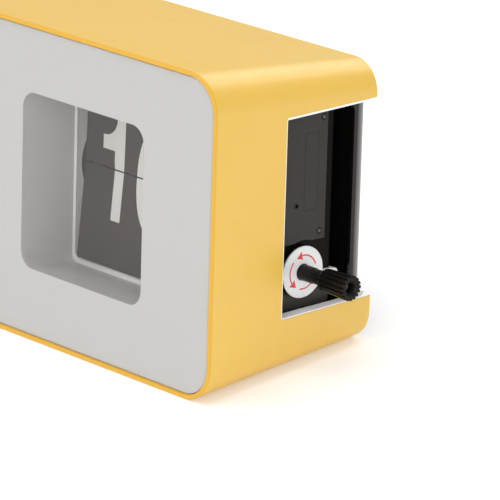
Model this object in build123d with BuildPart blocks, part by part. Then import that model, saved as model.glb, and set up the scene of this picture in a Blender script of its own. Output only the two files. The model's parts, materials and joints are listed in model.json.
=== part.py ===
from build123d import *
import os
from math import sin, cos, tan, pi, acos, radians, degrees, atan2, sqrt

os.makedirs("parts", exist_ok=True)

# ------------------------------------------------------------------ dimensions
# Everything is in millimetres. The clock stands on its flat base (z = 0). The
# walls of its sleeve all draw in by the same angle towards the back, so the
# face leans back by that angle when the base is flat.
TAPER = 4.9            # draw of the four sleeve walls, and lean of the face
W, H, D = 360.0, 186.0, 130.5      # sleeve at the face, and its depth
R_FRONT, R_BACK = 22.0, 18.4       # outer corner radii, front and back
WALL = 2.6             # sleeve wall
RIM_GAP = 0.4          # gap between the sleeve and the lens
LENS_T = 1.5           # clear front lens
PLATE_T = 2.0          # grey face plate behind the lens
Y_PLATE = LENS_T + 0.05            # front of the face plate
Y_PLATE_B = Y_PLATE + PLATE_T      # back of the face plate

WIN_X0, WIN_X1 = 13.4, 119.1       # minutes window, left and right edge
WIN_Z0, WIN_Z1 = 42.0, 145.6       # both windows, bottom and top edge
WIN_R = 10.0
TUN_END = 44.0         # depth where the tunnel walls end
TUN_X, TUN_Z = 3.0, 5.5            # spread of the tunnel walls at that depth
TUN_T = 1.5            # tunnel wall
LIP_T = 1.0            # lip behind the tunnel

AX_Y, AX_Z = 73.36, 96.0           # drum axis
R_PIVOT = 26.0         # circle of the leaf pivots
R_DISC = 27.8          # drum end discs
LEAF_L = 38.0          # leaf, pivot to tip
LEAF_T = 0.25          # leaf thickness
LEAF_X0, LEAF_X1 = 15.0, 117.5     # leaf width span on the minutes side
N_MIN, N_HOUR = 60, 24             # leaves on each drum
A_UP = 6.0             # pivot of the shown upper leaf, degrees above the axis
LEAN_UP = 1.7          # shown upper leaf leans back
LEAN_LOW = 5.6         # shown lower leaf stands forward at its foot

R_AXLE = 3.0           # main axle
RUN = 0.06             # running clearance, radial

KN_Y, KN_Z = 83.8, 59.2            # knob shaft
X_COVER = 161.6        # outer face of the gear cover
X_KNOB_END = 202.6
NOTCH_Y = 56.7         # front end of the side notch
NOTCH_Z0, NOTCH_Z1 = 39.0, 154.9   # bottom and top of the side notch
TRIM = 1.3             # white trim round the notch

X_PLATE = 134.0        # right frame plate, middle
X_PLATE_L = -126.0     # left frame plate, middle
RODS = [(90.5, 151.2), (54.0, 153.0), (56.0, 22.0), (112.0, 26.0)]
R_ROD = 2.5

# ---------------------------------------------------------------- planes
# The face frame (x, y, z): x to the right, y into the clock square to the
# face, z up the face, from the bottom front edge. It is turned back by TAPER
# about X to stand on the base; the origin is the middle of the base.
c_, s_ = cos(radians(TAPER)), sin(radians(TAPER))
BASE_Y = -D / c_ / 2
UX, UY, UZ = (1, 0, 0), (0, c_, -s_), (0, s_, c_)


def P(x, y, z):
    """A point of the face frame, in the standing frame."""
    return (x, BASE_Y + y * c_ + z * s_, -y * s_ + z * c_)


def facing(y):
    """Plane parallel to the face at depth y; local (x, z), normal to the viewer."""
    return Plane(origin=P(0, y, 0), x_dir=UX, z_dir=(0, -c_, s_))


def across(x):
    """Plane square to X; local (y, z), normal +X."""
    return Plane(origin=P(x, 0, 0), x_dir=UY, z_dir=(1, 0, 0))


def level(z):
    """Plane square to the face and level with it at height z; local (x, y)."""
    return Plane(origin=P(0, 0, z), x_dir=UX, z_dir=UZ)


AXX = Axis.X
AXY = Axis((0, 0, 0), UY)
AXZ = Axis((0, 0, 0), UZ)
T = tan(radians(TAPER))


def rrect(w, h, r):
    RectangleRounded(w, h, r)


def gear_points(n, m, phase, backlash=0.11, bore=0.0):
    """Outline of an involute spur gear: n teeth, module m, one tooth at phase."""
    r = m * n / 2
    rb, ra, rf = r * cos(radians(20)), r + 0.85 * m, r - 1.2 * m
    inv20 = tan(radians(20)) - radians(20)
    half = (pi * m / 2 - 2 * backlash) / 2 / r
    pts = []
    lo = max(rb, rf)
    steps = [lo + (ra - lo) * i / 3 for i in range(4)]
    def ang(q):
        a = acos(min(1.0, rb / q))
        return half + inv20 - (tan(a) - a)
    for k in range(n):
        c = phase + 2 * pi * k / n
        row = []
        if rf < rb:
            row.append((rf, -ang(lo) * 1.0))
        row += [(q, -ang(q)) for q in steps]
        row += [(q, ang(q)) for q in reversed(steps)]
        if rf < rb:
            row.append((rf, ang(lo) * 1.0))
        pts += [(q * cos(c + a), q * sin(c + a)) for q, a in row]
    return pts


def mesh_phase(beta, a, na, nb):
    """Phase of gear b in mesh with gear a, beta the direction from a to b."""
    return beta + pi - (pi - (beta - a) * na) / nb


# ================================================================= CASING
# Yellow sleeve: four walls in one piece, open at the front and the back, with
# a notch in the right wall that runs out at the back.
SOLE = 0.03            # drawn this much low, then cut off flat at the base
with BuildPart() as outer_sleeve:
    with BuildSketch(facing(0)):
        with Locations((0, (H - SOLE) / 2)):
            RectangleRounded(W, H + SOLE, R_FRONT)
    with BuildSketch(facing(D)):
        with Locations((0, (H - SOLE) / 2)):
            RectangleRounded(W - 2 * D * T, H - 2 * D * T + SOLE, R_BACK)
    loft(ruled=True)
    with BuildSketch(facing(-0.5)):
        with Locations((0, H / 2)):
            RectangleRounded(W - 2 * WALL + 2 * 0.5 * T, H - 2 * WALL + 2 * 0.5 * T, R_FRONT - WALL)
    with BuildSketch(facing(D + 0.5)):
        with Locations((0, H / 2)):
            RectangleRounded(W - 2 * WALL - 2 * (D + 0.5) * T, H - 2 * WALL - 2 * (D + 0.5) * T, R_BACK - WALL)
    loft(ruled=True, mode=Mode.SUBTRACT)
    with BuildSketch(across(150)):
        with BuildLine():
            Polyline((NOTCH_Y, NOTCH_Z0), (D + 5, NOTCH_Z0), (D + 5, NOTCH_Z1), (NOTCH_Y, NOTCH_Z1), close=True)
        make_face()
        fillet([v for v in vertices() if abs(across(150).to_local_coords(v).X - NOTCH_Y) < 0.1], 0.8)
    extrude(amount=60, mode=Mode.SUBTRACT)
    # softened front and back rims
    front_rim = [e for e in edges() if abs(facing(0).to_local_coords(e.center()).Z) < 0.02]
    fillet(front_rim, 0.9)
    back_rim = [e for e in edges() if abs(facing(D).to_local_coords(e.center()).Z) < 0.02]
    fillet(back_rim, 0.5)
    with BuildSketch(Plane.XY):
        Rectangle(500, 400)
    extrude(amount=-5, mode=Mode.SUBTRACT)
outer_sleeve.part.label = "outer_sleeve"
export_step(outer_sleeve.part, "parts/outer_sleeve.step")

# White trim that lines the notch: a thin bar along the top and the front end,
# and a shelf along the bottom with an upstand at the back.
def wall_x(y):
    return W / 2 - y * T

with BuildPart() as notch_trim:
    with BuildSketch(across(158)):
        with BuildLine():
            Polyline((NOTCH_Y + 0.05, NOTCH_Z0 + 0.9), (NOTCH_Y + 0.9, NOTCH_Z0 + 0.05), (D - 1.5, NOTCH_Z0 + 0.05),
                     (D - 1.5, NOTCH_Z0 + 0.6), (NOTCH_Y + 1.3, NOTCH_Z0 + 0.6), (NOTCH_Y + 0.75, NOTCH_Z0 + 1.1),
                     (NOTCH_Y + 0.75, NOTCH_Z1 - TRIM - 0.4), (NOTCH_Y + 1.2, NOTCH_Z1 - TRIM), (D - 1.5, NOTCH_Z1 - TRIM),
                     (D - 1.5, NOTCH_Z1 - 0.05), (NOTCH_Y + 0.9, NOTCH_Z1 - 0.05), (NOTCH_Y + 0.05, NOTCH_Z1 - 0.9), close=True)
        make_face()
    extrude(amount=30)
    # upstand at the back end of the bottom bar
    with BuildSketch(across(158)):
        with BuildLine():
            Polyline((119.5, NOTCH_Z0 + 0.3), (122.9, 39.8), (125.3, 42.0), (128.4, 40.6),
                     (D - 1.5, NOTCH_Z0 + 0.3), close=True)
        make_face()
    extrude(amount=30)
    # the bars end flush with the outside of the sleeve and with its inside
    with BuildSketch(level(20)):
        with BuildLine():
            Polyline((W / 2 - 0.15, 0), (W / 2 + 40, 0), (W / 2 + 40, D + 5), (wall_x(D + 5) - 0.15, D + 5), close=True)
        make_face()
        with BuildLine():
            Polyline((150, 0), (W / 2 - WALL - 0.1, 0), (wall_x(D + 5) - WALL - 0.1, D + 5), (150, D + 5), close=True)
        make_face()
    extrude(amount=150, mode=Mode.SUBTRACT)
    # shelf, 9 mm deep at the front and narrower at the back, just under the notch
    with BuildSketch(level(NOTCH_Z0 - 1.4)):
        with BuildLine():
            Polyline((167.2, NOTCH_Y - 3), (wall_x(NOTCH_Y - 3) - WALL - 0.15, NOTCH_Y - 3),
                     (wall_x(111.0) - WALL - 0.15, 111.0), (163.5, 111.0), close=True)
        make_face()
    extrude(amount=1.7)
    with BuildSketch(level(NOTCH_Z0 + 0.06)):
        with BuildLine():
            Polyline((167.2, NOTCH_Y + 0.8), (wall_x(NOTCH_Y + 0.8) - 1.0, NOTCH_Y + 0.8), (wall_x(111.0) - 1.0, 111.0),
                     (163.5, 111.0), close=True)
        make_face()
    extrude(amount=0.54)
    with BuildSketch(level(NOTCH_Z0 + 0.301)):
        with BuildLine():
            Polyline((140, 20), (wall_x(20) - WALL - 0.12, 20), (wall_x(111.2) - WALL - 0.12, 111.2), (140, 111.2), close=True)
        make_face()
    extrude(amount=4, mode=Mode.SUBTRACT)
notch_trim.part.label = "notch_trim"
export_step(notch_trim.part, "parts/notch_trim.step")

# Clear lens over the whole face.
LW, LH = W - 2 * (WALL + RIM_GAP), H - 2 * (WALL + RIM_GAP)
with BuildPart() as front_lens:
    with BuildSketch(facing(0)):
        with Locations((0, H / 2)):
            RectangleRounded(LW, LH, R_FRONT - WALL - RIM_GAP)
    extrude(amount=-LENS_T)
    chamfer([e for e in edges() if abs(facing(0).to_local_coords(e.center()).Z) < 0.02], 0.25)
front_lens.part.label = "front_lens"
export_step(front_lens.part, "parts/front_lens.step")

WCX, WCZ = (WIN_X0 + WIN_X1) / 2, (WIN_Z0 + WIN_Z1) / 2
WW, WH = WIN_X1 - WIN_X0, WIN_Z1 - WIN_Z0

# Grey face plate with the two window openings.
with BuildPart() as face_plate:
    with BuildSketch(facing(Y_PLATE)):
        with Locations((0, H / 2)):
            RectangleRounded(LW - 0.4, LH - 0.4, R_FRONT - WALL - RIM_GAP - 0.2)
        with Locations((-WCX, WCZ), (WCX, WCZ)):
            RectangleRounded(WW, WH, WIN_R, mode=Mode.SUBTRACT)
    extrude(amount=-PLATE_T)
face_plate.part.label = "face_plate"
export_step(face_plate.part, "parts/face_plate.step")


def tunnel(sgn):
    """Grey window tunnel: walls that spread towards the back, and a lip there."""
    y0, y1 = Y_PLATE_B + 0.05, TUN_END
    with BuildPart() as t:
        for y, ex, ez, r in ((y0, 0.0, 0.0, WIN_R + TUN_T), (y1 + LIP_T, TUN_X, TUN_Z, 6.0)):
            with BuildSketch(facing(y)):
                with Locations((sgn * WCX, WCZ)):
                    RectangleRounded(WW + 2 * ex + 2 * TUN_T, WH + 2 * ez + 2 * TUN_T, r)
        loft(ruled=True)
        for y, ex, ez, r in ((y0 - 0.01, 0.0, 0.0, WIN_R), (y1, TUN_X, TUN_Z, 4.5)):
            with BuildSketch(facing(y)):
                with Locations((sgn * WCX, WCZ)):
                    RectangleRounded(WW + 2 * ex, WH + 2 * ez, r)
        loft(ruled=True, mode=Mode.SUBTRACT)
        with BuildSketch(facing(y1 - 1)):
            with Locations((sgn * WCX, WCZ)):
                RectangleRounded(WW, WH + 3.8, 2.5)
        extrude(amount=-(LIP_T + 3), mode=Mode.SUBTRACT)
    return t


tunnel_minutes = tunnel(1)
tunnel_minutes.part.label = "tunnel_minutes"
export_step(tunnel_minutes.part, "parts/tunnel_minutes.step")
tunnel_hours = tunnel(-1)
tunnel_hours.part.label = "tunnel_hours"
export_step(tunnel_hours.part, "parts/tunnel_hours.step")

# Black back cover: a tray that closes the back, its right wall cut away round
# the knob, with the battery opening on the left and posts for its screws.
Y_TUB0, Y_TUB1 = 100.0, 127.5
TUB_T = 1.8
BX0, BX1, BZ0, BZ1 = -156.5, -128.5, 39.0, 95.0       # battery opening
HINGE_Y, HINGE_Z = Y_TUB1 - 0.9, BZ0 + 1.3            # battery door hinge
SCREWS = [(-148, 152), (148, 152), (92, 32), (-92, 32)]
tw = lambda y, off: (W - 2 * y * T - 2 * (WALL + off), H - 2 * y * T - 2 * (WALL + off))
with BuildPart() as back_cover:
    with BuildSketch(facing(Y_TUB0)):
        with Locations((0, H / 2)):
            RectangleRounded(*tw(Y_TUB0, 0.3), 16.5)
    with BuildSketch(facing(Y_TUB1)):
        with Locations((0, H / 2)):
            RectangleRounded(*tw(Y_TUB1, 0.3), 15.9)
    loft(ruled=True)
    fillet([e for e in edges() if abs(facing(Y_TUB1).to_local_coords(e.center()).Z) < 0.02], 10.5)
    with BuildSketch(facing(Y_TUB0 - 0.5)):
        with Locations((0, H / 2)):
            RectangleRounded(*tw(Y_TUB0 - 0.5, 0.3 + TUB_T), 14.7)
    with BuildSketch(facing(Y_TUB1 - 8.1)):
        with Locations((0, H / 2)):
            RectangleRounded(*tw(Y_TUB1 - 8.1, 0.3 + TUB_T), 14.4)
    loft(ruled=True, mode=Mode.SUBTRACT)
    # the inside narrows towards the back plate, behind the rounded outer edge
    with BuildSketch(facing(Y_TUB1 - 8.1)):
        with Locations((0, H / 2)):
            RectangleRounded(*tw(Y_TUB1 - 8.1, 0.3 + TUB_T), 14.4)
    with BuildSketch(facing(Y_TUB1 - 2.0)):
        with Locations((0, H / 2)):
            RectangleRounded(*tw(Y_TUB1, 8.0), 8)
    loft(ruled=True, mode=Mode.SUBTRACT)
    # cut-away of the right wall
    with BuildSketch(across(150)):
        with Locations((Y_TUB0 + 15.0 - 30, (36.5 + 153.6) / 2)):
            RectangleRounded(60, 153.6 - 36.5, 6.0)
    extrude(amount=30, mode=Mode.SUBTRACT)
    # battery opening
    with BuildSketch(facing(Y_TUB1 - 9)):
        with Locations(((BX0 + BX1) / 2, (BZ0 + BZ1) / 2)):
            Rectangle(BX1 - BX0, BZ1 - BZ0)
    extrude(amount=-13, mode=Mode.SUBTRACT)
    # screw posts with their holes and head recesses
    with BuildSketch(facing(Y_TUB1 - 1.9)):
        with Locations(*SCREWS):
            Circle(4.5)
    extrude(amount=8)
    with BuildSketch(facing(Y_TUB1 + 1)):
        with Locations(*SCREWS):
            Circle(1.6)
    extrude(amount=-0.1 + 21, mode=Mode.SUBTRACT)
    with BuildSketch(facing(Y_TUB1 + 1)):
        with Locations(*SCREWS):
            Circle(3.2)
    extrude(amount=2.6, mode=Mode.SUBTRACT)
    # holes of the battery door's pins
    with BuildSketch(across(BX0 - 2.0)):
        with Locations((HINGE_Y, HINGE_Z)):
            Circle(0.68)
    extrude(amount=BX1 - BX0 + 4.0, mode=Mode.SUBTRACT)
    # thumb slot above the battery door
    with BuildSketch(facing(Y_TUB1 + 1)):
        with Locations(((BX0 + BX1) / 2, BZ1)):
            RectangleRounded(12, 7, 3)
    extrude(amount=2.2, mode=Mode.SUBTRACT)
back_cover.part.label = "back_cover"
export_step(back_cover.part, "parts/back_cover.step")

with BuildPart() as battery_door:
    with BuildSketch(across(BX0 + 0.4)):
        with BuildLine():
            l1 = Line((HINGE_Y - 0.9, HINGE_Z), (HINGE_Y - 0.9, BZ1 - 0.5))
            l2 = Line(l1 @ 1, (HINGE_Y + 0.9, BZ1 - 0.4))
            l3 = Line(l2 @ 1, (HINGE_Y + 0.9, HINGE_Z))
            ThreePointArc(l3 @ 1, (HINGE_Y, HINGE_Z - 0.9), l1 @ 0)
        make_face()
    extrude(amount=BX1 - BX0 - 0.8)
    with BuildSketch(across(BX0 - 1.2)):
        with Locations((HINGE_Y, HINGE_Z)):
            Circle(0.6)
    extrude(amount=BX1 - BX0 + 2.4)
    # finger ribs on the outside and a snap tongue inside
    with BuildSketch(facing(Y_TUB1 - 0.1)):
        with Locations(*[((BX0 + BX1) / 2, BZ1 - 8 - 2.4 * i) for i in range(4)]):
            SlotOverall(16, 1.1)
    extrude(amount=-0.7)
battery_door.part.label = "battery_door"
export_step(battery_door.part, "parts/battery_door.step")

with BuildPart() as back_screws:
    with BuildSketch(facing(Y_TUB1 - 1.55)):
        with Locations(*SCREWS):
            Circle(2.9)
    extrude(amount=-1.4)
    with BuildSketch(facing(Y_TUB1 - 1.5)):
        with Locations(*SCREWS):
            Circle(1.45)
    extrude(amount=7)
    with BuildSketch(facing(Y_TUB1 + 0.5)):
        for sx, sz in SCREWS:
            with Locations((sx, sz)):
                Rectangle(3.6, 0.8)
                Rectangle(0.8, 3.6)
    extrude(amount=1.35, mode=Mode.SUBTRACT)
back_screws.part.label = "back_screws"
export_step(back_screws.part, "parts/back_screws.step")

# ================================================================= FRAME
PLATE_PROFILE = [(6.0, 14.0), (30.0, 14.0), (50.0, 14.5), (116.5, 18.5), (116.5, 34.0), (108.0, 60.0),
                 (108.0, 140.0), (98.0, 160.0), (44.0, 162.0), (30.0, 168.0), (6.0, 168.0),
                 (6.0, 150.0), (46.0, 146.0), (46.0, 34.0), (6.0, 32.0)]


def frame_plate(x, out, holes):
    """Side plate of the movement, with two front tabs that meet the face plate."""
    with BuildPart() as p:
        with BuildSketch(across(x - 1.0)):
            with BuildLine():
                Polyline(*PLATE_PROFILE, close=True)
            make_face()
            with Locations(*RODS):
                Circle(R_ROD - 1.0 + 0.05, mode=Mode.SUBTRACT)
            for hy, hz, hr in holes:
                with Locations((hy, hz)):
                    Circle(hr, mode=Mode.SUBTRACT)
        extrude(amount=2.0)
        with BuildSketch(facing(Y_PLATE_B + 0.05)):
            with Locations((x + out * 4.0, 23.0), (x + out * 4.0, 159.0)):
                Rectangle(10.0, 14.0)
            with Locations((x + out * 4.5, 23.0), (x + out * 4.5, 159.0)):
                Circle(1.6, mode=Mode.SUBTRACT)
        extrude(amount=-2.5)
    return p


# gear train: module and teeth
M = 0.8
N_DRUM, N_IDLE, N_KNOB, N_MOT = 64, 18, 16, 12
dk = sqrt((KN_Y - AX_Y) ** 2 + (KN_Z - AX_Z) ** 2)
ra_, rk_ = M * (N_DRUM + N_IDLE) / 2, M * (N_KNOB + N_IDLE) / 2
aa = acos((ra_ ** 2 + dk ** 2 - rk_ ** 2) / (2 * ra_ * dk))
base_dir = atan2(KN_Z - AX_Z, KN_Y - AX_Y)
ID_DIR = base_dir + aa
ID_Y, ID_Z = AX_Y + ra_ * cos(ID_DIR), AX_Z + ra_ * sin(ID_DIR)
MO_DIR = radians(230)
rm_ = M * (N_DRUM + N_MOT) / 2
MO_Y, MO_Z = AX_Y + rm_ * cos(MO_DIR), AX_Z + rm_ * sin(MO_DIR)
PH_DRUM = 0.0
PH_IDLE = mesh_phase(ID_DIR, PH_DRUM, N_DRUM, N_IDLE)
K_DIR = atan2(KN_Z - ID_Z, KN_Y - ID_Y)
PH_KNOB = mesh_phase(K_DIR, PH_IDLE, N_IDLE, N_KNOB)
PH_MOT = mesh_phase(MO_DIR, PH_DRUM, N_DRUM, N_MOT)
# hour reduction: 14:56 and 12:72 on one countershaft, both 28 mm centres
M1, NA, NB = 0.8, 14, 56
M2, NC, ND = 2.0 / 3.0, 12, 72
CS_DIR = radians(-60)
CS_Y, CS_Z = AX_Y + 28.0 * cos(CS_DIR), AX_Z + 28.0 * sin(CS_DIR)
PH_A = 0.1
PH_B = mesh_phase(CS_DIR, PH_A, NA, NB)
PH_D = 0.2
PH_C = mesh_phase(CS_DIR, PH_D, ND, NC)
print("idler", round(ID_Y, 3), round(ID_Z, 3), "motor pinion", round(MO_Y, 3), round(MO_Z, 3),
      "countershaft", round(CS_Y, 3), round(CS_Z, 3))

frame_plate_right = frame_plate(X_PLATE, 1, [(AX_Y, AX_Z, R_AXLE + 0.03), (ID_Y, ID_Z, 1.5 + 0.03),
                                             (KN_Y, KN_Z, 2.0 + RUN), (MO_Y, MO_Z, 3.0)])
frame_plate_right.part.label = "frame_plate_right"
export_step(frame_plate_right.part, "parts/frame_plate_right.step")
frame_plate_left = frame_plate(X_PLATE_L, -1, [(AX_Y, AX_Z, R_AXLE + 0.03)])
frame_plate_left.part.label = "frame_plate_left"
export_step(frame_plate_left.part, "parts/frame_plate_left.step")

# Centre plate between the two drums.
with BuildPart() as centre_plate:
    with BuildSketch(across(-1.0)):
        with BuildLine():
            Polyline((48, 15), (116.5, 19), (116.5, 34), (112, 60), (108, 140), (98, 160), (48, 161), close=True)
        make_face()
        with Locations(*RODS):
            Circle(R_ROD + 0.05, mode=Mode.SUBTRACT)
        with Locations((AX_Y, AX_Z)):
            Circle(R_AXLE + 0.03, mode=Mode.SUBTRACT)
        with Locations((CS_Y, CS_Z)):
            Circle(1.5 + RUN, mode=Mode.SUBTRACT)
        with Locations((62, 130), (62, 50)):
            Circle(9, mode=Mode.SUBTRACT)
        with Locations((92, 125)):
            Circle(9, mode=Mode.SUBTRACT)
    extrude(amount=2.0)
centre_plate.part.label = "centre_plate"
export_step(centre_plate.part, "parts/centre_plate.step")

# Four spacer rods, shouldered at both ends where they enter the side plates.
with BuildPart() as spacer_rods:
    with BuildSketch(across(X_PLATE_L + 1.02)):
        with Locations(*RODS):
            Circle(R_ROD)
    extrude(amount=X_PLATE - X_PLATE_L - 2.04)
    with BuildSketch(across(X_PLATE_L - 1.0)):
        with Locations(*RODS):
            Circle(R_ROD - 1.0)
    extrude(amount=X_PLATE - X_PLATE_L + 2.0)
spacer_rods.part.label = "spacer_rods"
export_step(spacer_rods.part, "parts/spacer_rods.step")

with BuildPart() as rod_nuts:
    with BuildSketch(across(X_PLATE + 1.03)):
        with Locations(*RODS):
            RegularPolygon(3.4, 6)
    extrude(amount=2.2)
    with BuildSketch(across(X_PLATE_L - 1.03)):
        with Locations(*RODS):
            RegularPolygon(3.4, 6)
    extrude(amount=-2.2)
rod_nuts.part.label = "rod_nuts"
export_step(rod_nuts.part, "parts/rod_nuts.step")

TABS = [(X_PLATE + 4.5, 23.0), (X_PLATE + 4.5, 159.0), (X_PLATE_L - 4.5, 23.0), (X_PLATE_L - 4.5, 159.0)]
with BuildPart() as frame_screws:
    with BuildSketch(facing(Y_PLATE_B + 2.6)):
        with Locations(*TABS):
            Circle(2.8)
    extrude(amount=-1.8)
    with BuildSketch(facing(Y_PLATE_B + 0.1)):
        with Locations(*TABS):
            Circle(1.5)
    extrude(amount=-2.6)
    with BuildSketch(facing(Y_PLATE_B + 5.0)):
        for sx, sz in TABS:
            with Locations((sx, sz)):
                Rectangle(3.6, 0.8)
                Rectangle(0.8, 3.6)
    extrude(amount=1.6, mode=Mode.SUBTRACT)
frame_screws.part.label = "frame_screws"
export_step(frame_screws.part, "parts/frame_screws.step")

with BuildPart() as main_axle:
    with BuildSketch(across(X_PLATE_L - 2.5)):
        with Locations((AX_Y, AX_Z)):
            Circle(R_AXLE)
    extrude(amount=X_PLATE - X_PLATE_L + 5.0)
    chamfer(edges().group_by(AXX)[0], 0.4)
    chamfer(edges().group_by(AXX)[-1], 0.4)
main_axle.part.label = "main_axle"
export_step(main_axle.part, "parts/main_axle.step")


# ================================================================= DRUMS
def disc(x0, x1, n, a0):
    """End disc of a drum: rim pierced by a ring of leaf-pivot holes, spoked."""
    with BuildPart() as d:
        with BuildSketch(across(x0)):
            with Locations((AX_Y, AX_Z)):
                Circle(R_DISC)
                Circle(8.0 + 0.0, mode=Mode.SUBTRACT)
            with Locations((AX_Y, AX_Z)):
                with PolarLocations(R_PIVOT, n, start_angle=a0):
                    Circle(0.55, mode=Mode.SUBTRACT)
            with Locations((AX_Y, AX_Z)):
                with PolarLocations(16.0, 6, start_angle=15):
                    Circle(4.4, mode=Mode.SUBTRACT)
        extrude(amount=x1 - x0)
    return d


def hub(xs):
    """Stepped hub sleeve that runs on the main axle: list of (x0, x1, radius)."""
    with BuildPart() as h:
        for x0, x1, r in xs:
            with BuildSketch(across(x0)):
                with Locations((AX_Y, AX_Z)):
                    Circle(r)
            extrude(amount=x1 - x0)
        with BuildSketch(across(min(a[0] for a in xs) - 1)):
            with Locations((AX_Y, AX_Z)):
                Circle(R_AXLE + RUN)
        extrude(amount=max(a[1] for a in xs) - min(a[0] for a in xs) + 2, mode=Mode.SUBTRACT)
    return h


def gear(x0, x1, y, z, n, m, phase, bore, boss=None):
    """Spur gear; boss is (x0, x1, radius) of a raised collar."""
    with BuildPart() as g:
        with BuildSketch(across(x0)):
            with BuildLine():
                Polyline(*[(y + a, z + b) for a, b in gear_points(n, m, phase)], close=True)
            make_face()
            with Locations((y, z)):
                Circle(bore, mode=Mode.SUBTRACT)
        extrude(amount=x1 - x0)
        if boss:
            with BuildSketch(across(boss[0])):
                with Locations((y, z)):
                    Circle(boss[2])
                    Circle(bore, mode=Mode.SUBTRACT)
            extrude(amount=boss[1] - boss[0])
    return g


DX0, DX1 = 12.6, 14.2              # inner disc
DX2, DX3 = 118.3, 119.9            # outer disc
HUB_R = 8.0

minute_hub = hub([(2.4, 12.0, 4.0), (12.0, 121.5, HUB_R - 0.02), (121.5, 131.5, 6.0)])
minute_hub.part.label = "minute_hub"
export_step(minute_hub.part, "parts/minute_hub.step")
minute_disc_inner = disc(DX0, DX1, N_MIN, 0)
minute_disc_inner.part.label = "minute_disc_inner"
export_step(minute_disc_inner.part, "parts/minute_disc_inner.step")
minute_disc_outer = disc(DX2, DX3, N_MIN, 0)
minute_disc_outer.part.label = "minute_disc_outer"
export_step(minute_disc_outer.part, "parts/minute_disc_outer.step")

hour_hub = hub([(-11.6, -2.4, 4.0), (-121.0, -11.6, HUB_R - 0.02)])
hour_hub.part.label = "hour_hub"
export_step(hour_hub.part, "parts/hour_hub.step")
hour_disc_inner = disc(-DX1, -DX0, N_HOUR, 0)
hour_disc_inner.part.label = "hour_disc_inner"
export_step(hour_disc_inner.part, "parts/hour_disc_inner.step")
hour_disc_outer = disc(-DX3, -DX2, N_HOUR, 0)
hour_disc_outer.part.label = "hour_disc_outer"
export_step(hour_disc_outer.part, "parts/hour_disc_outer.step")

minute_gear = gear(126.0, 130.0, AX_Y, AX_Z, N_DRUM, M, PH_DRUM, 6.02)
minute_gear.part.label = "minute_gear"
export_step(minute_gear.part, "parts/minute_gear.step")
minute_pinion = gear(5.0, 10.5, AX_Y, AX_Z, NA, M1, PH_A, 4.02)
minute_pinion.part.label = "minute_pinion"
export_step(minute_pinion.part, "parts/minute_pinion.step")
hour_gear = gear(-9.6, -6.2, AX_Y, AX_Z, ND, M2, PH_D, 4.02)
hour_gear.part.label = "hour_gear"
export_step(hour_gear.part, "parts/hour_gear.step")
counter_gear = gear(6.0, 9.4, CS_Y, CS_Z, NB, M1, PH_B, 1.52, (2.4, 6.0, 3.6))
counter_gear.part.label = "counter_gear"
export_step(counter_gear.part, "parts/counter_gear.step")
counter_pinion = gear(-10.4, -5.2, CS_Y, CS_Z, NC, M2, PH_C, 1.52, (-5.2, -2.4, 3.0))
counter_pinion.part.label = "counter_pinion"
export_step(counter_pinion.part, "parts/counter_pinion.step")
with BuildPart() as counter_shaft:
    with BuildSketch(across(-11.2)):
        with Locations((CS_Y, CS_Z)):
            Circle(1.5)
    extrude(amount=21.6)
counter_shaft.part.label = "counter_shaft"
export_step(counter_shaft.part, "parts/counter_shaft.step")

idler_gear = gear(126.0, 130.0, ID_Y, ID_Z, N_IDLE, M, PH_IDLE, 1.5 + RUN, (130.0, 132.6, 3.2))
idler_gear.part.label = "idler_gear"
export_step(idler_gear.part, "parts/idler_gear.step")
with BuildPart() as idler_pin:
    with BuildSketch(across(124.6)):
        with Locations((ID_Y, ID_Z)):
            Circle(1.5)
    extrude(amount=X_PLATE + 1.0 - 124.6)
    with BuildSketch(across(124.0)):
        with Locations((ID_Y, ID_Z)):
            Circle(2.4)
    extrude(amount=1.2)
idler_pin.part.label = "idler_pin"
export_step(idler_pin.part, "parts/idler_pin.step")

# ================================================================= SETTING KNOB
knob_gear = gear(126.0, 130.0, KN_Y, KN_Z, N_KNOB, M, PH_KNOB, 2.02, (130.0, 132.4, 3.4))
knob_gear.part.label = "knob_gear"
export_step(knob_gear.part, "parts/knob_gear.step")
with BuildPart() as knob_shaft:
    with BuildSketch(across(124.5)):
        with Locations((KN_Y, KN_Z)):
            Circle(2.0)
    extrude(amount=X_KNOB_END - 5.0 - 124.5)
knob_shaft.part.label = "knob_shaft"
export_step(knob_shaft.part, "parts/knob_shaft.step")
X_DISC = X_COVER + 1.0
with BuildPart() as knob_stem:
    with BuildSketch(across(X_DISC + 0.3)):
        with Locations((KN_Y, KN_Z)):
            Circle(4.6)
            Circle(2.02, mode=Mode.SUBTRACT)
    extrude(amount=9.2)
    with BuildSketch(across(X_DISC + 9.0)):
        with Locations((KN_Y, KN_Z)):
            Circle(4.25)
            Circle(2.02, mode=Mode.SUBTRACT)
    extrude(amount=180.3 - X_DISC - 9.0)
    chamfer(edges().filter_by(GeomType.CIRCLE).sort_by(AXX).filter_by_position(AXX, X_DISC + 9.4, X_DISC + 9.6).sort_by(SortBy.LENGTH)[-1], 0.25)
knob_stem.part.label = "knob_stem"
export_step(knob_stem.part, "parts/knob_stem.step")
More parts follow.
